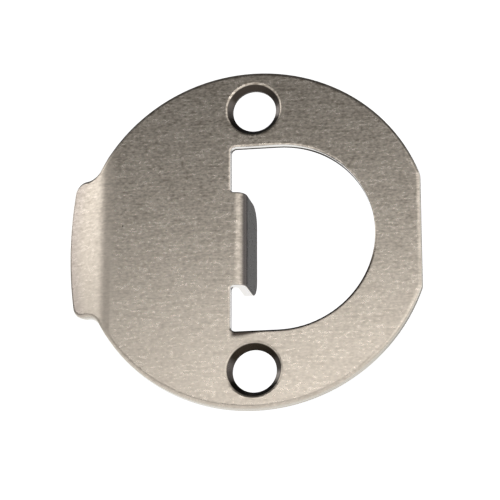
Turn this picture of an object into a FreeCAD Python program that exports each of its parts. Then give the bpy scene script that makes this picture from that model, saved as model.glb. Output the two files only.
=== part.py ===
import FreeCAD, Part
import math
import os
import Sketcher

# A round strike plate stamped from one sheet: countersunk screw holes, a D-shaped latch opening,
# a lip bent back where the latch arrives and a tab bent back into the mortise.
# Frame as fixed on a door jamb: Z up along the screw line, X across the jamb with the lip at -X,
# the face towards -Y and the back of the flat plate on the plane Y = 0.

os.makedirs("parts", exist_ok=True)
doc = FreeCAD.newDocument("door_strike")

# Driving dimensions, in millimetres and degrees
dimensions = [
    ("plate_diameter", 54.0, "round plate, across"),
    ("sheet_thickness", 1.4, "stamped sheet"),
    ("edge_round", 0.6, "rounding that blanking leaves on the face side of the plate and its lip"),
    ("flat_depth", 1.5, "taken off the rim by its straight stretch"),
    ("flat_corner", 1.5, "rounding between the straight stretch and the round rim"),
    ("rim_margin", 1.9, "metal between a countersink and the rim"),
    ("screw_bore", 6.7, "screw hole, across"),
    ("sink_ring", 0.85, "width of the countersink round the hole"),
    ("sink_angle", 82.0, "countersink, full angle"),
    ("sink_rim", 0.5, "rounding of the countersink's rim"),
    ("latch_margin", 1.9, "metal between a countersink and the latch opening"),
    ("latch_side", 3.6, "plate centre to the opening's straight side"),
    ("latch_arc", 3.7, "plate centre to the centre of the opening's round end"),
    ("latch_corner", 0.8, "rounding in the opening's two corners"),
    ("latch_round", 0.3, "rounding that piercing leaves on the face side of the opening and its tab"),
    ("tab_height", 15.0, "tab, top to bottom"),
    ("tab_neck", 0.55, "flat neck of the tab before its bend"),
    ("tab_bend", 0.45, "inside radius of the tab's bend"),
    ("tab_angle", 86.0, "turn of the tab's bend"),
    ("tab_length", 6.95, "straight part of the tab behind its bend"),
    ("tab_corner", 3.0, "rounding of the tab's end corners"),
    ("tab_root", 0.5, "rounding where the tab leaves the opening's side"),
    ("lip_inset", 4.8, "from the rim inwards to the start of the lip's bend"),
    ("lip_bend", 4.3, "inside radius of the lip's bend"),
    ("lip_angle", 25.0, "turn of the lip's bend"),
    ("lip_length", 5.2, "straight part of the lip at its middle"),
    ("lip_width", 22.2, "lip, top to bottom"),
    ("lip_root", 2.5, "rounding where the lip leaves the round rim"),
    ("lip_corner", 2.2, "rounding of the lip's end corners"),
    ("lip_bow", 55.0, "radius of the lip's bowed end"),
]
sheet = doc.addObject("Spreadsheet::Sheet", "sizes")
for row, (alias, size, note) in enumerate(dimensions, start=1):
    sheet.set("A%d" % row, alias)
    sheet.set("B%d" % row, str(size))
    sheet.set("C%d" % row, note)
    sheet.setAlias("B%d" % row, alias)
doc.recompute()


def dim(alias):
    return float(sheet.get(alias))


# Sizes that follow from the driving ones, as numbers to draw with and as expressions to bind to
thickness = dim("sheet_thickness")
plate_radius = dim("plate_diameter") / 2
flat_x = plate_radius - dim("flat_depth")
sink_diameter = dim("screw_bore") + 2 * dim("sink_ring")
screw_spacing = dim("plate_diameter") - 2 * dim("rim_margin") - sink_diameter
latch_height = screw_spacing - sink_diameter - 2 * dim("latch_margin")
lip_start = plate_radius - dim("lip_inset")
lip_reach = dim("lip_length") + thickness
half_lip = dim("lip_width") / 2
half_tab = dim("tab_height") / 2
sink_rule = "(sizes.screw_bore + 2 * sizes.sink_ring)"
spacing_rule = "(sizes.plate_diameter - 2 * sizes.rim_margin - %s)" % sink_rule
latch_rule = "(%s - %s - 2 * sizes.latch_margin)" % (spacing_rule, sink_rule)
lip_start_rule = "(sizes.plate_diameter / 2 - sizes.lip_inset)"

body = doc.addObject("PartDesign::Body", "strike_plate")
body.Label = "strike_plate"
body.Placement = FreeCAD.Placement()

# What a constraint names: a curve's start, end or centre, and the sketch's own X axis and origin
def start(curve):
    return (curve, 1)


def end(curve):
    return (curve, 2)


def centre(curve):
    return (curve, 3)


axis_x = -1
origin = start(axis_x)


def polar(middle, radius, degrees):
    angle = math.radians(degrees)
    return (middle[0] + radius * math.cos(angle), middle[1] + radius * math.sin(angle))


def add_sketch(name, plane_role):
    sketch = body.newObject("Sketcher::SketchObject", name)
    plane = next(item for item in body.Origin.OriginFeatures if item.Role == plane_role)
    sketch.AttachmentSupport = [(plane, "")]
    sketch.MapMode = "FlatFace"
    return sketch


def circle(middle, radius):
    return Part.Circle(FreeCAD.Vector(*middle, 0), FreeCAD.Vector(0, 0, 1), radius)


def arc(sketch, middle, radius, from_degrees, to_degrees):
    turn = (math.radians(from_degrees), math.radians(to_degrees))
    return sketch.addGeometry(Part.ArcOfCircle(circle(middle, radius), *turn))


def line(sketch, first, last):
    return sketch.addGeometry(Part.LineSegment(FreeCAD.Vector(*first, 0), FreeCAD.Vector(*last, 0)))


def constrain(sketch, kind, *references, size=()):
    numbers = []
    for reference in references:
        numbers.extend(reference if isinstance(reference, tuple) else (reference,))
    return sketch.addConstraint(Sketcher.Constraint(kind, *numbers, *size))


def join(sketch, *pairs):
    for first, second in pairs:
        constrain(sketch, "Coincident", end(first), start(second))


def drive(sketch, kind, references, size, expression):
    index = constrain(sketch, kind, *references, size=(size,))
    sketch.setExpression("Constraints[%d]" % index, expression)


def add_pad(name, sketch, length_expression):
    pad = body.newObject("PartDesign::Pad", name)
    pad.Profile = sketch
    pad.SideType = "Symmetric"
    pad.setExpression("Length", length_expression)
    doc.recompute()
    return pad


def cut_through(name, sketch):
    pocket = body.newObject("PartDesign::Pocket", name)
    pocket.Profile = sketch
    pocket.SideType = "Symmetric"
    pocket.Type = "ThroughAll"
    doc.recompute()


def add_fillet(name, base, chosen, radius_expression):
    edges = enumerate(base.Shape.Edges, start=1)
    fillet = body.newObject("PartDesign::Fillet", name)
    fillet.Base = (base, ["Edge%d" % number for number, edge in edges if chosen(edge)])
    fillet.setExpression("Radius", radius_expression)
    doc.recompute()
    return fillet


# Bent section of the sheet, seen from above: flat plate, the lip's bend and the straight lip,
# which is left a sheet's thickness too long for its bowed end
lip_hub = (-lip_start, dim("lip_bend"))
lip_turn = -90 - dim("lip_angle")
lip_front = polar(lip_hub, dim("lip_bend") + thickness, lip_turn)
lip_back = polar(lip_hub, dim("lip_bend"), lip_turn)
lip_front_tip = polar(lip_front, lip_reach, lip_turn - 90)
lip_back_tip = polar(lip_back, lip_reach, lip_turn - 90)
section = add_sketch("sheet_section", "XY_Plane")
face = line(section, (-lip_start, -thickness), (plate_radius, -thickness))
rim = line(section, (plate_radius, -thickness), (plate_radius, 0))
back = line(section, (plate_radius, 0), (-lip_start, 0))
bend_back = arc(section, lip_hub, dim("lip_bend"), lip_turn, -90)
back_of_lip = line(section, lip_back, lip_back_tip)
end_of_lip = line(section, lip_back_tip, lip_front_tip)
face_of_lip = line(section, lip_front_tip, lip_front)
bend_face = arc(section, lip_hub, dim("lip_bend") + thickness, lip_turn, -90)
join(section, (face, rim), (rim, back), (back_of_lip, end_of_lip), (end_of_lip, face_of_lip))
constrain(section, "Tangent", end(back), end(bend_back))
constrain(section, "Tangent", start(bend_back), start(back_of_lip))
constrain(section, "Tangent", end(face_of_lip), start(bend_face))
constrain(section, "Tangent", end(bend_face), start(face))
constrain(section, "Coincident", centre(bend_back), centre(bend_face))
constrain(section, "Horizontal", face)
constrain(section, "Vertical", rim)
constrain(section, "Horizontal", back)
constrain(section, "PointOnObject", start(back), axis_x)
constrain(section, "Perpendicular", end_of_lip, face_of_lip)
constrain(section, "Parallel", back_of_lip, face_of_lip)
drive(section, "DistanceY", (start(rim), end(rim)), thickness, "sizes.sheet_thickness")
drive(section, "DistanceX", (origin, start(rim)), plate_radius, "sizes.plate_diameter / 2")
drive(section, "DistanceX", (centre(bend_back), origin), lip_start, lip_start_rule)
drive(section, "Radius", (bend_back,), dim("lip_bend"), "sizes.lip_bend")
drive(section, "Angle", (back_of_lip,), math.radians(180 - dim("lip_angle")),
      "180 deg - sizes.lip_angle * 1 deg")
drive(section, "Distance", (start(face_of_lip), end(face_of_lip)), lip_reach,
      "sizes.lip_length + sizes.sheet_thickness")
add_pad("bent_sheet", section, "sizes.plate_diameter")

# Outline of the plate, seen from the front: round rim, its straight stretch and the sides of the lip
root_radius = dim("lip_root")
root_z = half_lip + root_radius
root_x = -math.sqrt((plate_radius + root_radius) ** 2 - root_z ** 2)
root_turn = math.degrees(math.atan2(root_z, -root_x))
corner_radius = dim("flat_corner")
corner_x = flat_x - corner_radius
corner_z = math.sqrt((plate_radius - corner_radius) ** 2 - corner_x ** 2)
corner_turn = math.degrees(math.atan2(corner_z, corner_x))
beyond_lip = -dim("plate_diameter")
beyond_all = 2 * dim("plate_diameter")
outline = add_sketch("plate_outline", "XZ_Plane")
rim_top = arc(outline, (0, 0), plate_radius, corner_turn, 180 - root_turn)
root_top = arc(outline, (root_x, root_z), root_radius, -90, -root_turn)
side_top = line(outline, (root_x, half_lip), (beyond_lip, half_lip))
far_side = line(outline, (beyond_lip, half_lip), (beyond_lip, -half_lip))
side_low = line(outline, (beyond_lip, -half_lip), (root_x, -half_lip))
root_low = arc(outline, (root_x, -root_z), root_radius, root_turn, 90)
rim_low = arc(outline, (0, 0), plate_radius, 180 + root_turn, 360 - corner_turn)
corner_low = arc(outline, (corner_x, -corner_z), corner_radius, -corner_turn, 0)
flat = line(outline, (flat_x, -corner_z), (flat_x, corner_z))
corner_top = arc(outline, (corner_x, corner_z), corner_radius, 0, corner_turn)
blank = outline.addGeometry(circle((0, 0), beyond_all))
join(outline, (side_top, far_side), (far_side, side_low))
constrain(outline, "Tangent", end(corner_top), start(rim_top))
constrain(outline, "Tangent", end(rim_top), end(root_top))
constrain(outline, "Tangent", start(root_top), start(side_top))
constrain(outline, "Tangent", end(side_low), end(root_low))
constrain(outline, "Tangent", start(root_low), start(rim_low))
constrain(outline, "Tangent", end(rim_low), start(corner_low))
constrain(outline, "Tangent", end(corner_low), start(flat))
constrain(outline, "Tangent", end(flat), start(corner_top))
for round_edge in (rim_top, rim_low, blank):
    constrain(outline, "Coincident", centre(round_edge), origin)
constrain(outline, "Horizontal", side_top)
constrain(outline, "Horizontal", side_low)
constrain(outline, "Vertical", flat)
constrain(outline, "Equal", rim_top, rim_low)
constrain(outline, "Equal", root_top, root_low)
constrain(outline, "Equal", corner_top, corner_low)
constrain(outline, "Symmetric", start(far_side), end(far_side), axis_x)
drive(outline, "Radius", (rim_top,), plate_radius, "sizes.plate_diameter / 2")
drive(outline, "Radius", (root_top,), root_radius, "sizes.lip_root")
drive(outline, "Radius", (corner_top,), corner_radius, "sizes.flat_corner")
drive(outline, "Radius", (blank,), beyond_all, "2 * sizes.plate_diameter")
drive(outline, "DistanceX", (origin, start(flat)), flat_x, "sizes.plate_diameter / 2 - sizes.flat_depth")
drive(outline, "DistanceX", (start(far_side), origin), -beyond_lip, "sizes.plate_diameter")
drive(outline, "DistanceY", (end(far_side), start(far_side)), 2 * half_lip, "sizes.lip_width")
cut_through("trimmed_sheet", outline)

# Bowed end of the lip, on a plane that holds the bend's axis and runs along the lip
bow_radius = dim("lip_bow")
bow_hub = (bow_radius - dim("lip_length"), 0)
bow_z = half_lip + thickness
bow_turn = math.degrees(math.asin(bow_z / bow_radius))
lip_plane = add_sketch("lip_end", "XZ_Plane")
lip_plane.AttachmentOffset = FreeCAD.Placement(
    FreeCAD.Vector(-lip_start, 0, -dim("lip_bend")),
    FreeCAD.Rotation(FreeCAD.Vector(0, -1, 0), dim("lip_angle")),
)
lip_plane.setExpression("AttachmentOffset.Base.x", "-" + lip_start_rule)
lip_plane.setExpression("AttachmentOffset.Base.z", "-sizes.lip_bend")
lip_plane.setExpression("AttachmentOffset.Rotation.Angle", "sizes.lip_angle * 1 deg")
bow = arc(lip_plane, bow_hub, bow_radius, 180 - bow_turn, 180 + bow_turn)
below = line(lip_plane, polar(bow_hub, bow_radius, 180 + bow_turn), (beyond_lip, -bow_z))
beyond = line(lip_plane, (beyond_lip, -bow_z), (beyond_lip, bow_z))
above = line(lip_plane, (beyond_lip, bow_z), polar(bow_hub, bow_radius, 180 - bow_turn))
join(lip_plane, (bow, below), (below, beyond), (beyond, above), (above, bow))
constrain(lip_plane, "Horizontal", below)
constrain(lip_plane, "Horizontal", above)
constrain(lip_plane, "PointOnObject", centre(bow), axis_x)
constrain(lip_plane, "Symmetric", start(beyond), end(beyond), axis_x)
drive(lip_plane, "Radius", (bow,), bow_radius, "sizes.lip_bow")
drive(lip_plane, "DistanceX", (origin, centre(bow)), bow_hub[0], "sizes.lip_bow - sizes.lip_length")
drive(lip_plane, "DistanceX", (start(beyond), origin), -beyond_lip, "sizes.plate_diameter")
drive(lip_plane, "DistanceY", (start(beyond), end(beyond)), 2 * bow_z,
      "sizes.lip_width + 2 * sizes.sheet_thickness")
cut_through("bowed_lip", lip_plane)

# D-shaped opening for the latch, seen from the front
latch_radius = latch_height / 2
nook_radius = dim("latch_corner")
latch_x = -dim("latch_side")
nook_x = latch_x + nook_radius
nook_z = latch_radius - nook_radius
opening = add_sketch("latch_opening", "XZ_Plane")
straight = line(opening, (latch_x, -nook_z), (latch_x, nook_z))
nook_top = arc(opening, (nook_x, nook_z), nook_radius, 90, 180)
top = line(opening, (nook_x, latch_radius), (dim("latch_arc"), latch_radius))
round_end = arc(opening, (dim("latch_arc"), 0), latch_radius, -90, 90)
bottom = line(opening, (dim("latch_arc"), -latch_radius), (nook_x, -latch_radius))
nook_low = arc(opening, (nook_x, -nook_z), nook_radius, 180, 270)
constrain(opening, "Tangent", end(straight), end(nook_top))
constrain(opening, "Tangent", start(nook_top), start(top))
constrain(opening, "Tangent", end(top), end(round_end))
constrain(opening, "Tangent", start(round_end), start(bottom))
constrain(opening, "Tangent", end(bottom), end(nook_low))
constrain(opening, "Tangent", start(nook_low), start(straight))
constrain(opening, "Vertical", straight)
constrain(opening, "Horizontal", top)
constrain(opening, "Horizontal", bottom)
constrain(opening, "Equal", nook_top, nook_low)
constrain(opening, "PointOnObject", centre(round_end), axis_x)
drive(opening, "Radius", (nook_top,), nook_radius, "sizes.latch_corner")
drive(opening, "Radius", (round_end,), latch_radius, latch_rule + " / 2")
drive(opening, "DistanceX", (start(straight), origin), -latch_x, "sizes.latch_side")
drive(opening, "DistanceX", (origin, centre(round_end)), dim("latch_arc"), "sizes.latch_arc")
cut_through("opened_plate", opening)

# Tab bent back into the mortise, seen from above: flat neck, bend and straight end
tab_hub = (latch_x + dim("tab_neck"), dim("tab_bend"))
tab_turn = dim("tab_angle") - 90
tab_front = polar(tab_hub, dim("tab_bend") + thickness, tab_turn)
tab_back = polar(tab_hub, dim("tab_bend"), tab_turn)
tab_front_tip = polar(tab_front, dim("tab_length"), tab_turn + 90)
tab_back_tip = polar(tab_back, dim("tab_length"), tab_turn + 90)
tab_section = add_sketch("tab_section", "XY_Plane")
neck_face = line(tab_section, (latch_x, -thickness), (tab_hub[0], -thickness))
curl_face = arc(tab_section, tab_hub, dim("tab_bend") + thickness, -90, tab_turn)
tab_face = line(tab_section, tab_front, tab_front_tip)
tab_end = line(tab_section, tab_front_tip, tab_back_tip)
tab_rear = line(tab_section, tab_back_tip, tab_back)
curl_rear = arc(tab_section, tab_hub, dim("tab_bend"), -90, tab_turn)
neck_rear = line(tab_section, (tab_hub[0], 0), (latch_x, 0))
neck_root = line(tab_section, (latch_x, 0), (latch_x, -thickness))
join(tab_section, (tab_face, tab_end), (tab_end, tab_rear), (neck_rear, neck_root), (neck_root, neck_face))
constrain(tab_section, "Tangent", end(neck_face), start(curl_face))
constrain(tab_section, "Tangent", end(curl_face), start(tab_face))
constrain(tab_section, "Tangent", end(tab_rear), end(curl_rear))
constrain(tab_section, "Tangent", start(curl_rear), start(neck_rear))
constrain(tab_section, "Coincident", centre(curl_face), centre(curl_rear))
constrain(tab_section, "Horizontal", neck_face)
constrain(tab_section, "Horizontal", neck_rear)
constrain(tab_section, "Vertical", neck_root)
constrain(tab_section, "PointOnObject", end(neck_rear), axis_x)
constrain(tab_section, "Perpendicular", tab_face, tab_end)
constrain(tab_section, "Parallel", tab_face, tab_rear)
drive(tab_section, "DistanceY", (end(neck_root), start(neck_root)), thickness, "sizes.sheet_thickness")
drive(tab_section, "DistanceX", (start(neck_root), origin), -latch_x, "sizes.latch_side")
drive(tab_section, "DistanceX", (start(neck_face), end(neck_face)), dim("tab_neck"), "sizes.tab_neck")
drive(tab_section, "Radius", (curl_rear,), dim("tab_bend"), "sizes.tab_bend")
drive(tab_section, "Angle", (tab_face,), math.radians(dim("tab_angle")), "sizes.tab_angle * 1 deg")
drive(tab_section, "Distance", (start(tab_face), end(tab_face)), dim("tab_length"), "sizes.tab_length")
tabbed_plate = add_pad("tabbed_plate", tab_section, "sizes.tab_height")

# Rounded corners where the lip ends, where the tab ends and where the tab leaves the opening's side
touching = 1e-4
face_normal = FreeCAD.Vector(0, -1, 0)
lip_normal = FreeCAD.Vector(*polar((0, 0), 1, lip_turn), 0)
tab_normal = FreeCAD.Vector(*polar((0, 0), 1, tab_turn), 0)


def crosses_sheet(edge, normal, height):
    first = edge.Vertexes[0].Point
    last = edge.Vertexes[-1].Point
    level = abs(abs(first.z) - height) < touching and abs(abs(last.z) - height) < touching
    return level and abs(abs((last - first) * normal) - thickness) < touching


def is_lip_corner(edge):
    return crosses_sheet(edge, lip_normal, half_lip) and edge.CenterOfMass.x < lip_front[0]


def is_tab_corner(edge):
    return crosses_sheet(edge, tab_normal, half_tab) and edge.CenterOfMass.y > tab_front[1]


def is_tab_root(edge):
    return crosses_sheet(edge, face_normal, half_tab) and abs(edge.CenterOfMass.x - latch_x) < touching


lip_corners = add_fillet("lip_corners", tabbed_plate, is_lip_corner, "sizes.lip_corner")
tab_corners = add_fillet("tab_corners", lip_corners, is_tab_corner, "sizes.tab_corner")
tab_roots = add_fillet("tab_roots", tab_corners, is_tab_root, "min(sizes.tab_root; sizes.tab_neck)")

# Rolled edges on the face side of the sheet, first round the plate and lip, then round the opening and tab
flat_faces = [
    (FreeCAD.Vector(0, 0, 0), face_normal, thickness),
    (FreeCAD.Vector(*lip_hub, 0), lip_normal, dim("lip_bend") + thickness),
    (FreeCAD.Vector(*tab_hub, 0), tab_normal, dim("tab_bend") + thickness),
]
bend_radii = (dim("lip_bend") + thickness, dim("tab_bend") + thickness)
between_edges = (dim("latch_arc") + latch_radius + flat_x) / 2


def is_show_face(surface):
    if isinstance(surface.Surface, Part.Cylinder):
        upright = abs(abs(surface.Surface.Axis.z) - 1) < touching
        return upright and any(abs(surface.Surface.Radius - radius) < touching for radius in bend_radii)
    if not isinstance(surface.Surface, Part.Plane):
        return False
    normal = surface.normalAt(0, 0)
    middle = surface.CenterOfMass
    return any(
        normal.isEqual(direction, touching) and abs((middle - hub) * direction - reach) < touching
        for hub, direction, reach in flat_faces
    )


def show_edges(shape, of_opening):
    surfaces = [surface for surface in shape.Faces if is_show_face(surface)]

    def chosen(edge):
        first = edge.Vertexes[0].Point
        inside = math.hypot(first.x, first.z) < between_edges
        neighbours = sum(edge.isSame(other) for surface in surfaces for other in surface.Edges)
        return neighbours == 1 and inside == of_opening

    return chosen


plate_edges = show_edges(tab_roots.Shape, False)
rolled_plate = add_fillet("rolled_plate", tab_roots, plate_edges, "sizes.edge_round")
latch_edges = show_edges(rolled_plate.Shape, True)
add_fillet("rolled_latch", rolled_plate, latch_edges, "sizes.latch_round")

# Countersunk screw holes, set out on the face
screw_radius = dim("screw_bore") / 2
screws = add_sketch("screw_places", "XZ_Plane")
screws.AttachmentOffset = FreeCAD.Placement(FreeCAD.Vector(0, 0, thickness), FreeCAD.Rotation())
screws.setExpression("AttachmentOffset.Base.z", "sizes.sheet_thickness")
screw_top = screws.addGeometry(circle((0, screw_spacing / 2), screw_radius))
screw_low = screws.addGeometry(circle((0, -screw_spacing / 2), screw_radius))
constrain(screws, "Vertical", origin, centre(screw_top))
constrain(screws, "Symmetric", centre(screw_top), centre(screw_low), axis_x)
constrain(screws, "Equal", screw_top, screw_low)
drive(screws, "Radius", (screw_top,), screw_radius, "sizes.screw_bore / 2")
drive(screws, "DistanceY", (centre(screw_low), centre(screw_top)), screw_spacing, spacing_rule)
doc.recompute()
drilled_plate = body.newObject("PartDesign::Hole", "drilled_plate")
drilled_plate.Profile = screws
drilled_plate.ThreadType = "None"
drilled_plate.DepthType = "ThroughAll"
drilled_plate.HoleCutType = "Countersink"
drilled_plate.HoleCutCustomValues = True
drilled_plate.setExpression("Diameter", "sizes.screw_bore")
drilled_plate.setExpression("HoleCutDiameter", sink_rule)
drilled_plate.setExpression("HoleCutCountersinkAngle", "sizes.sink_angle * 1 deg")
doc.recompute()


def is_sink_rim(edge):
    if not isinstance(edge.Curve, Part.Circle):
        return False
    on_face = abs(edge.Curve.Center.y + thickness) < touching
    return on_face and abs(edge.Curve.Radius - sink_diameter / 2) < touching


add_fillet("sink_rims", drilled_plate, is_sink_rim, "sizes.sink_rim")

# Nothing is written unless every object and the finished shape are sound
failed = [item.Name for item in doc.Objects if "Invalid" in item.State or "Error" in item.State]
if failed:
    raise RuntimeError("these objects failed: %s" % ", ".join(failed))
if body.Shape.isNull() or not body.Shape.isValid():
    raise RuntimeError("the strike plate's shape is not valid")
body.Shape.exportStep("parts/%s.step" % body.Label)
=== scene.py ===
import math

import bmesh
import bpy
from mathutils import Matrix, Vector

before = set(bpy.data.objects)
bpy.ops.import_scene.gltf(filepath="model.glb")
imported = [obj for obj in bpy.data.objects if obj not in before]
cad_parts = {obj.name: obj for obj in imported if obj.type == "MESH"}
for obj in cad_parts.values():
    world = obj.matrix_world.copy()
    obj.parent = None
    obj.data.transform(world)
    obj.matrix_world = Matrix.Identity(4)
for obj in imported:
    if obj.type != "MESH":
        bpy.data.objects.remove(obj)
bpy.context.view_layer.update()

print("frame loaded:", ", ".join(sorted(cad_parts)))


# node helpers

layout = {"column": 220, "row": 180}


def newTree(owner):
    owner.use_nodes = True
    owner.node_tree.nodes.clear()
    return owner.node_tree


def addNode(tree, kind, **settings):
    node = tree.nodes.new("ShaderNode" + kind)
    for name, value in settings.items():
        setattr(node, name, value)
    return node


def put(node, **values):
    for name, value in values.items():
        node.inputs[name].default_value = value
    return node


def wire(tree, source, target):
    tree.links.new(source, target)


def feed(tree, value, socket):
    if isinstance(value, bpy.types.NodeSocket):
        wire(tree, value, socket)
    else:
        socket.default_value = value


def mathNode(tree, operation, *values):
    node = addNode(tree, "Math", operation=operation)
    for socket, value in zip(node.inputs, values):
        feed(tree, value, socket)
    return node.outputs["Value"]


def absolute(tree, value):
    return mathNode(tree, "ABSOLUTE", value)


def opposite(tree, share):
    return mathNode(tree, "SUBTRACT", 1.0, share)


def product(tree, value, *others):
    for other in others:
        value = mathNode(tree, "MULTIPLY", value, other)
    return value


def square(tree, value):
    return mathNode(tree, "POWER", value, 2.0)


def distance(tree, across, up):
    return mathNode(tree, "SQRT", mathNode(tree, "ADD", square(tree, across), square(tree, up)))


def rangeNode(tree, value, low, high, toLow=0.0, toHigh=1.0):
    node = addNode(tree, "MapRange", interpolation_type="SMOOTHSTEP")
    wire(tree, value, node.inputs["Value"])
    put(node, **{"From Min": low, "From Max": high, "To Min": toLow, "To Max": toHigh})
    return node.outputs["Result"]


def blendNode(tree, share, first, second):
    # two values mixed by fixed shares
    return mathNode(tree, "ADD", product(tree, first, share), product(tree, second, 1 - share))


def noiseNode(tree, coordinates, look):
    mapping = put(addNode(tree, "Mapping"), Location=look["start"], Scale=look["perMetre"])
    wire(tree, coordinates, mapping.inputs["Vector"])
    noise = put(addNode(tree, "TexNoise"), Scale=1.0, Detail=look["detail"],
                Roughness=look["roughness"], Lacunarity=look["step"])
    wire(tree, mapping.outputs["Vector"], noise.inputs["Vector"])
    return noise.outputs["Fac"]


def mixColour(tree, share, first, second, blend="MIX"):
    node = addNode(tree, "Mix", data_type="RGBA", blend_type=blend)
    sockets = {socket.identifier: socket for socket in node.inputs}
    for name, value in (("Factor_Float", share), ("A_Color", first), ("B_Color", second)):
        feed(tree, value, sockets[name])
    return next(socket for socket in node.outputs if socket.identifier == "Result_Color")


def splitVector(tree, vector):
    parts = addNode(tree, "SeparateXYZ")
    wire(tree, vector, parts.inputs["Vector"])
    return parts.outputs["X"], parts.outputs["Y"], parts.outputs["Z"]


def arrange(tree):
    # nodes stand in columns, each to the right of what feeds it
    columns = {}
    filled = {}

    def columnOf(node):
        if node.name not in columns:
            feeding = [link.from_node for link in tree.links if link.to_node == node]
            columns[node.name] = max((columnOf(other) + 1 for other in feeding), default=0)
        return columns[node.name]

    for node in tree.nodes:
        column = columnOf(node)
        node.location = (layout["column"] * column, -layout["row"] * filled.get(column, 0))
        filled[column] = filled.get(column, 0) + 1


# satin nickel on the stamped sheet; places are in metres from the plate's centre

nickel = {
    "brushedDark": (0.35, 0.30, 0.245, 1),    # furrows of the brushed face
    "brushedLight": (0.83, 0.745, 0.645, 1),  # ridges of the brushed face
    "plain": (0.42, 0.40, 0.385, 1),          # plating that the brush doesn't reach
    "back": (0.28, 0.265, 0.25, 1),           # dull plating on the hidden side
    "tab": (0.118, 0.105, 0.099, 1),          # painted shade on the tab's two sides, much darker than the plating
    "shearedGlint": (0.88, 0.86, 0.83, 1),         # walls of the opening, burnished by the die and painted near white as a highlight
    "rim": (0.64, 0.60, 0.53, 1),             # walls and rolled edges round the plate and its lip, painted lighter than the plating as edge glints
    "tornAndShadow": (0.075, 0.066, 0.058, 1),         # the last of those walls, torn rather than cut, and darkened further as a painted shadow line
    "rolledShade": (0.075, 0.06, 0.05, 1),         # painted shade along the lower edge of the opening, where the die drew it in
    "sinkShade": (0.056, 0.046, 0.038, 1),         # painted shade in the countersinks, far darker than their plating
    "sinkLowShade": (0.036, 0.028, 0.02, 1),       # painted shade, darker still in the lower one
    "sinkFlankSheen": (0.15, 0.132, 0.12, 1),      # painted reflection on their two sides, lighter than the shaded rest
    "lipTipShade": (0.78, 0.77, 0.80, 1),          # painted shade that dims the far edge of the lip

    "faceRough": 0.28,
    "roughSwing": 0.015,   # between furrows and ridges
    "wallRough": 0.16,
    "tornRough": 0.85,
    "bendRough": 0.36,     # where the lip's bend stretched the sheet

    # short furrows, long strokes and faint clouds of the brush, counted along x, y and z
    "grain": {"perMetre": (1400, 1400, 2500), "start": (500, 300, 700),
              "detail": 3, "roughness": 0.9, "step": 1.3},
    "strokes": {"perMetre": (300, 300, 2600), "start": (900, 200, 400),
                "detail": 2, "roughness": 0.9, "step": 1.3},
    "clouds": {"perMetre": (190, 190, 190), "start": (0, 0, 0),
               "detail": 3, "roughness": 0.5, "step": 2.0},
    "grainShare": 0.7,                # of the furrows; strokes are the rest
    "furrowShare": 0.95,              # of the tone; clouds are the rest
    "toneRange": (0.25, 0.75),
    "furrowDepth": 0.000003,
    "furrowStrength": 0.5,
    "bite": (0.45, 1.65),             # how hard the brush bit, at the foot and at the top
    "biteLine": (-0.027, 0.027),
    "lipBite": 0.5,
    "lipLine": (-0.0225, -0.0205),

    # how squarely a surface has to face the front, the back or a side
    "brushFacing": (0.35, 0.8),
    "backFacing": (0.5, 0.8),
    "wallFacing": (0.62, 0.3),
    "tabFacing": (0.4, 0.85),
    "sinkFacing": (0.6, 0.2),
    "flankFacing": (0.62, 0.75),

    "rimLine": (0.0205, 0.0215),
    "screwHeight": 0.0209,
    "sinkEdge": (0.00422, 0.00405),
    "tabMiddle": -0.0013,
    "tabReach": 0.0020,
    "tabHalf": 0.0076,
    "tornDepth": (0.00064, 0.00115),  # by the tab, and round the far end of the opening
    "tornSpread": (0.005, 0.011),
    "tornSoft": (1.0, 0.6),
    "tornFade": (0.0195, 0.0215),     # the torn line, darkened as a painted shadow, is faint round the rim
    "tornOnRim": 0.15,
    "latchArc": 0.0037,
    "latchHalf": 0.0148,
    "rollReach": (0.00055, 0.0013),   # width of the painted shade on the rolled edge, along the opening and in its corner
    "rollCorner": (0.0015, -0.0030),
    "rollSoft": (1.0, 0.4),
    "rollSide": (-0.0038, -0.0030),
    "rollDepth": (-0.00100, -0.00112),
    "rollFade": (0.001, -0.006),
    "bendFrom": (-0.0247, -0.0235),
    "bendTo": (-0.0216, -0.0226),
    "lipBow": 8.24,                   # how far the painted shade at the lip's end draws in, for its height squared
    "lipTipLine": (-0.0262, -0.0290),
    "pit": (-0.02033, -0.0014, 0.00284),
    "pitEdge": (0.00016, 0.00008),
}


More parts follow.
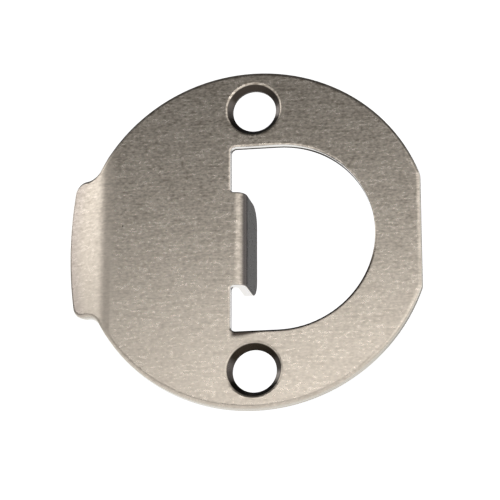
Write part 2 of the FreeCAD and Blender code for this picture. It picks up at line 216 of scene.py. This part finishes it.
def finishZones(tree, place, look):
    # where the brush went, where the die cut, and where the countersinks are
    sideward, backward, _ = splitVector(tree, addNode(tree, "TexCoord").outputs["Normal"])
    x, y, z = splitVector(tree, place)
    height = absolute(tree, z)
    sideward = absolute(tree, sideward)
    zones = {
        "brushed": rangeNode(tree, product(tree, backward, -1.0), *look["brushFacing"]),
        "hidden": rangeNode(tree, backward, *look["backFacing"]),
        "flankSheen": rangeNode(tree, sideward, *look["flankFacing"]),
        "lower": mathNode(tree, "LESS_THAN", z, 0.0),
    }

    fromTab = absolute(tree, mathNode(tree, "SUBTRACT", x, look["tabMiddle"]))
    nearTab = product(tree, mathNode(tree, "LESS_THAN", fromTab, look["tabReach"]),
                      mathNode(tree, "LESS_THAN", height, look["tabHalf"]))
    # the tab's two sides, which get painted shade
    zones["tab"] = product(tree, rangeNode(tree, sideward, *look["tabFacing"]), nearTab)

    walls = rangeNode(tree, absolute(tree, backward), *look["wallFacing"])
    zones["shearedGlint"] = product(tree, walls, opposite(tree, zones["tab"]))
    fromMiddle = distance(tree, x, height)
    zones["rim"] = rangeNode(tree, fromMiddle, *look["rimLine"])

    tornDepth = rangeNode(tree, x, *look["tornSpread"], *look["tornDepth"])
    fromBack = mathNode(tree, "DIVIDE", absolute(tree, y), tornDepth)
    fading = rangeNode(tree, fromMiddle, *look["tornFade"], 1.0, look["tornOnRim"])
    zones["tornAndShadow"] = product(tree, rangeNode(tree, fromBack, *look["tornSoft"]), zones["shearedGlint"],
                            opposite(tree, nearTab), fading)

    fromScrew = distance(tree, x, mathNode(tree, "SUBTRACT", height, look["screwHeight"]))
    zones["sinkShade"] = product(tree, rangeNode(tree, fromScrew, *look["sinkEdge"]),
                            rangeNode(tree, backward, *look["sinkFacing"]))
    return zones


def latchRollShade(tree, place, look):
    # painted shade along the lower edge of the opening, from the straight side round to the arc
    x, y, z = splitVector(tree, place)
    pastArc = mathNode(tree, "MAXIMUM", mathNode(tree, "SUBTRACT", x, look["latchArc"]), 0.0)
    outside = mathNode(tree, "SUBTRACT", distance(tree, pastArc, z), look["latchHalf"])
    reach = rangeNode(tree, x, *look["rollCorner"], *look["rollReach"])
    fromEdge = mathNode(tree, "DIVIDE", absolute(tree, outside), reach)
    return product(tree, rangeNode(tree, fromEdge, *look["rollSoft"]),
                   rangeNode(tree, x, *look["rollSide"]),
                   rangeNode(tree, y, *look["rollDepth"]),
                   rangeNode(tree, z, *look["rollFade"]))


# painted shade along the lip's far edge, following its bowed end
def lipEndShade(tree, place, look):
    x, _, z = splitVector(tree, place)
    bow = product(tree, square(tree, z), look["lipBow"])
    return rangeNode(tree, mathNode(tree, "SUBTRACT", x, bow), *look["lipTipLine"])


def lipBend(tree, place, look):
    x, _, _ = splitVector(tree, place)
    return product(tree, rangeNode(tree, x, *look["bendFrom"]), rangeNode(tree, x, *look["bendTo"]))


def smallPit(tree, place, look):
    away = addNode(tree, "VectorMath", operation="DISTANCE")
    for socket, value in zip(away.inputs, (place, look["pit"])):
        feed(tree, value, socket)
    return rangeNode(tree, away.outputs["Value"], *look["pitEdge"])


def brushBite(tree, place, look):
    x, _, z = splitVector(tree, place)
    bite = rangeNode(tree, z, *look["biteLine"], *look["bite"])
    return product(tree, bite, rangeNode(tree, x, *look["lipLine"], look["lipBite"], 1.0))


def brushedColour(tree, place, look, tone):
    half = 0.5  # furrow and ridge in equal parts
    contrast = rangeNode(tree, tone, *look["toneRange"], -half, half)
    contrast = product(tree, contrast, brushBite(tree, place, look))
    ridges = mathNode(tree, "ADD", contrast, half)
    colour = mixColour(tree, ridges, look["brushedDark"], look["brushedLight"])
    # painted shade dims the lip's far edge
    return mixColour(tree, lipEndShade(tree, place, look), colour, look["lipTipShade"], blend="MULTIPLY")


def nickelColour(tree, place, look, zones, tone):
    # painted edge glints: round the plate, plating and walls take the rim colour, lighter than the
    # plain plating
    plating = mixColour(tree, zones["rim"], look["plain"], look["rim"])
    plating = mixColour(tree, zones["hidden"], plating, look["back"])
    walls = mixColour(tree, zones["rim"], look["shearedGlint"], look["rim"])
    # countersinks: painted shade, darker in the lower one, with a painted reflection on their sides
    sinkShading = mixColour(tree, zones["lower"], look["sinkShade"], look["sinkLowShade"])
    sinkShading = mixColour(tree, zones["flankSheen"], sinkShading, look["sinkFlankSheen"])
    colour = mixColour(tree, zones["brushed"], plating, brushedColour(tree, place, look, tone))
    # painted shade: the tab's sides turn dark
    colour = mixColour(tree, zones["tab"], colour, look["tab"])
    # cut walls, painted near white as a highlight
    colour = mixColour(tree, zones["shearedGlint"], colour, walls)
    # torn band of the walls, partly a painted shadow line
    colour = mixColour(tree, zones["tornAndShadow"], colour, look["tornAndShadow"])
    # painted shade on the opening's lower edge
    colour = mixColour(tree, latchRollShade(tree, place, look), colour, look["rolledShade"])
    # painted shade and reflection in the countersinks
    colour = mixColour(tree, zones["sinkShade"], colour, sinkShading)
    # a small dark pit in the face, in the countersinks' painted-shade colour
    return mixColour(tree, smallPit(tree, place, look), colour, look["sinkShade"])


def nickelRoughness(tree, place, look, zones, tone):
    rough = rangeNode(tree, tone, *look["toneRange"],
                      look["faceRough"] + look["roughSwing"], look["faceRough"] - look["roughSwing"])
    changes = (
        (zones["shearedGlint"], look["wallRough"] - look["faceRough"]),
        (zones["tornAndShadow"], look["tornRough"] - look["wallRough"]),
        (lipBend(tree, place, look), look["bendRough"] - look["faceRough"]),
    )
    for zone, change in changes:
        rough = mathNode(tree, "ADD", rough, product(tree, zone, change))
    return rough


def nickelMaterial(look):
    material = bpy.data.materials.new("satinNickel")
    tree = newTree(material)
    place = addNode(tree, "TexCoord").outputs["Object"]
    grain = noiseNode(tree, place, look["grain"])
    strokes = noiseNode(tree, place, look["strokes"])
    clouds = noiseNode(tree, place, look["clouds"])
    furrows = blendNode(tree, look["grainShare"], grain, strokes)
    tone = blendNode(tree, look["furrowShare"], furrows, clouds)
    zones = finishZones(tree, place, look)
    bump = put(addNode(tree, "Bump"), Strength=look["furrowStrength"], Distance=look["furrowDepth"])
    wire(tree, furrows, bump.inputs["Height"])
    shader = put(addNode(tree, "BsdfPrincipled"), Metallic=1.0)
    wire(tree, nickelColour(tree, place, look, zones, tone), shader.inputs["Base Color"])
    wire(tree, nickelRoughness(tree, place, look, zones, tone), shader.inputs["Roughness"])
    wire(tree, bump.outputs["Normal"], shader.inputs["Normal"])
    wire(tree, shader.outputs["BSDF"], addNode(tree, "OutputMaterial").inputs["Surface"])
    arrange(tree)
    return material


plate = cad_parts["strike_plate"]
plate.data.materials[0] = nickelMaterial(nickel)
print("plate finished in satin nickel")


# pale floor well below the plate, and a white wall standing on it behind the plate

stage = {
    "floorDrop": -0.3,
    "floorSize": (6.0, 6.0),
    "floorPaper": (0.5, 0.5, 0.5, 1),
    "floorGlow": (0.85, 0.9),  # what the camera and the metal see, before and behind the plate
    "floorFade": (0.0, 0.35),
    "wallPaper": (0.8, 0.8, 0.8, 1),
    "wallGlow": (1.0, 1.0),    # white
    "wallFade": (0.0, 1.0),
    "wallPlace": (-0.89, 1.2),
    "wallSize": (2.4, 1.2),
}


def addFlat(name, size):
    mesh = bpy.data.meshes.new(name)
    flat = bmesh.new()
    bmesh.ops.create_grid(flat, x_segments=1, y_segments=1, size=0.5)
    bmesh.ops.scale(flat, vec=(*size, 1), verts=flat.verts)
    flat.to_mesh(mesh)
    flat.free()
    sheet = bpy.data.objects.new(name, mesh)
    bpy.context.scene.collection.objects.link(sheet)
    return sheet


def paperMaterial(name, paper, glow, fade):
    # pale to the eye and in reflections, and no lamp to the plate
    material = bpy.data.materials.new(name)
    tree = newTree(material)
    path = addNode(tree, "LightPath").outputs
    seen = mathNode(tree, "MAXIMUM", path["Is Camera Ray"], path["Is Glossy Ray"])
    seen = mathNode(tree, "MAXIMUM", seen, path["Is Transmission Ray"])
    _, along, _ = splitVector(tree, addNode(tree, "TexCoord").outputs["Object"])
    white = addNode(tree, "Emission")
    wire(tree, product(tree, seen, rangeNode(tree, along, *fade, *glow)), white.inputs["Strength"])
    matt = put(addNode(tree, "BsdfDiffuse"), Color=paper)
    both = addNode(tree, "AddShader")
    wire(tree, white.outputs["Emission"], both.inputs[0])
    wire(tree, matt.outputs["BSDF"], both.inputs[1])
    wire(tree, both.outputs["Shader"], addNode(tree, "OutputMaterial").inputs["Surface"])
    arrange(tree)
    return material


floor = addFlat("floor", stage["floorSize"])
floor.location.z = stage["floorDrop"]
floor.data.materials.append(
    paperMaterial("paleFloor", stage["floorPaper"], stage["floorGlow"], stage["floorFade"]))
backdrop = addFlat("backdrop", stage["wallSize"])
backdrop.location = (*stage["wallPlace"], stage["floorDrop"] + stage["wallSize"][1] / 2)
backdrop.rotation_euler.x = math.radians(90)
backdrop.data.materials.append(
    paperMaterial("whiteWall", stage["wallPaper"], stage["wallGlow"], stage["wallFade"]))
print("floor and wall placed")


# camera at the photograph's angle: below the plate and a little to its right

view = {
    "azimuth": 8.94,
    "elevation": -18.79,
    "distance": 0.3944,
    "aim": (-0.00055, -0.0014, -0.00208),
    "lens": 187.2,
    "sensor": 36,
    "nearest": 0.01,
}


def directionOf(azimuth, elevation):
    turn, rise = math.radians(azimuth), math.radians(elevation)
    return Vector((math.sin(turn) * math.cos(rise), -math.cos(turn) * math.cos(rise), math.sin(rise)))


def addCamera(view):
    data = bpy.data.cameras.new("photoCamera")
    data.lens = view["lens"]
    data.sensor_width = view["sensor"]
    data.clip_start = view["nearest"]
    camera = bpy.data.objects.new("photoCamera", data)
    back = directionOf(view["azimuth"], view["elevation"])
    camera.location = Vector(view["aim"]) + back * view["distance"]
    camera.rotation_euler = back.to_track_quat("Z", "Y").to_euler()
    bpy.context.scene.collection.objects.link(camera)
    bpy.context.scene.camera = camera


addCamera(view)
print("camera placed")


# soft boxes, turned to the plate's centre

lamps = {
    "away": 0.4,  # how far each box stands from the plate
    "boxes": {
        "frontStrip": {"azimuth": -0.3, "elevation": 11.4, "size": (0.215, 0.04), "power": 0.0965},
        "leftBox": {"azimuth": -63.8, "elevation": 24.5, "size": (0.257, 0.15), "power": 0.203},
        "leftSlope": {"azimuth": -40.5, "elevation": 18, "size": (0.077, 0.15), "power": 0.036},
        "leftFill": {"azimuth": -27, "elevation": 17, "size": (0.1, 0.15), "power": 0.013},
        "rightBox": {"azimuth": 41, "elevation": 11, "size": (0.42, 0.44), "power": 0.53},
        "rightEdge": {"azimuth": 102, "elevation": 16, "size": (0.5, 0.36), "power": 0.5},
        "leftEdge": {"azimuth": -110, "elevation": 27, "size": (0.14, 0.14), "power": 0.11},
    },
}


def addLamp(name, lamp, away):
    data = bpy.data.lights.new(name, "AREA")
    data.shape = "RECTANGLE"
    data.size, data.size_y = lamp["size"]
    data.energy = lamp["power"]
    box = bpy.data.objects.new(name, data)
    towards = directionOf(lamp["azimuth"], lamp["elevation"])
    box.location = towards * away
    box.rotation_euler = towards.to_track_quat("Z", "Y").to_euler()
    box.visible_camera = False
    bpy.context.scene.collection.objects.link(box)


for name, lamp in lamps["boxes"].items():
    addLamp(name, lamp, lamps["away"])


# a pale horizon that fades into a dim room above

room = {
    "paint": (1, 1, 1, 1),
    "light": (0.4, 0.075),  # at the horizon and above
    "fade": (0.0, 0.36),
}


def addRoom(room):
    world = bpy.data.worlds.new("studio")
    tree = newTree(world)
    _, _, up = splitVector(tree, addNode(tree, "TexCoord").outputs["Generated"])
    sky = put(addNode(tree, "Background"), Color=room["paint"])
    wire(tree, rangeNode(tree, up, *room["fade"], *room["light"]), sky.inputs["Strength"])
    wire(tree, sky.outputs["Background"], addNode(tree, "OutputWorld").inputs["Surface"])
    arrange(tree)
    bpy.context.scene.world = world


addRoom(room)
bpy.context.scene.view_settings.view_transform = "Standard"
print("lamps lit")
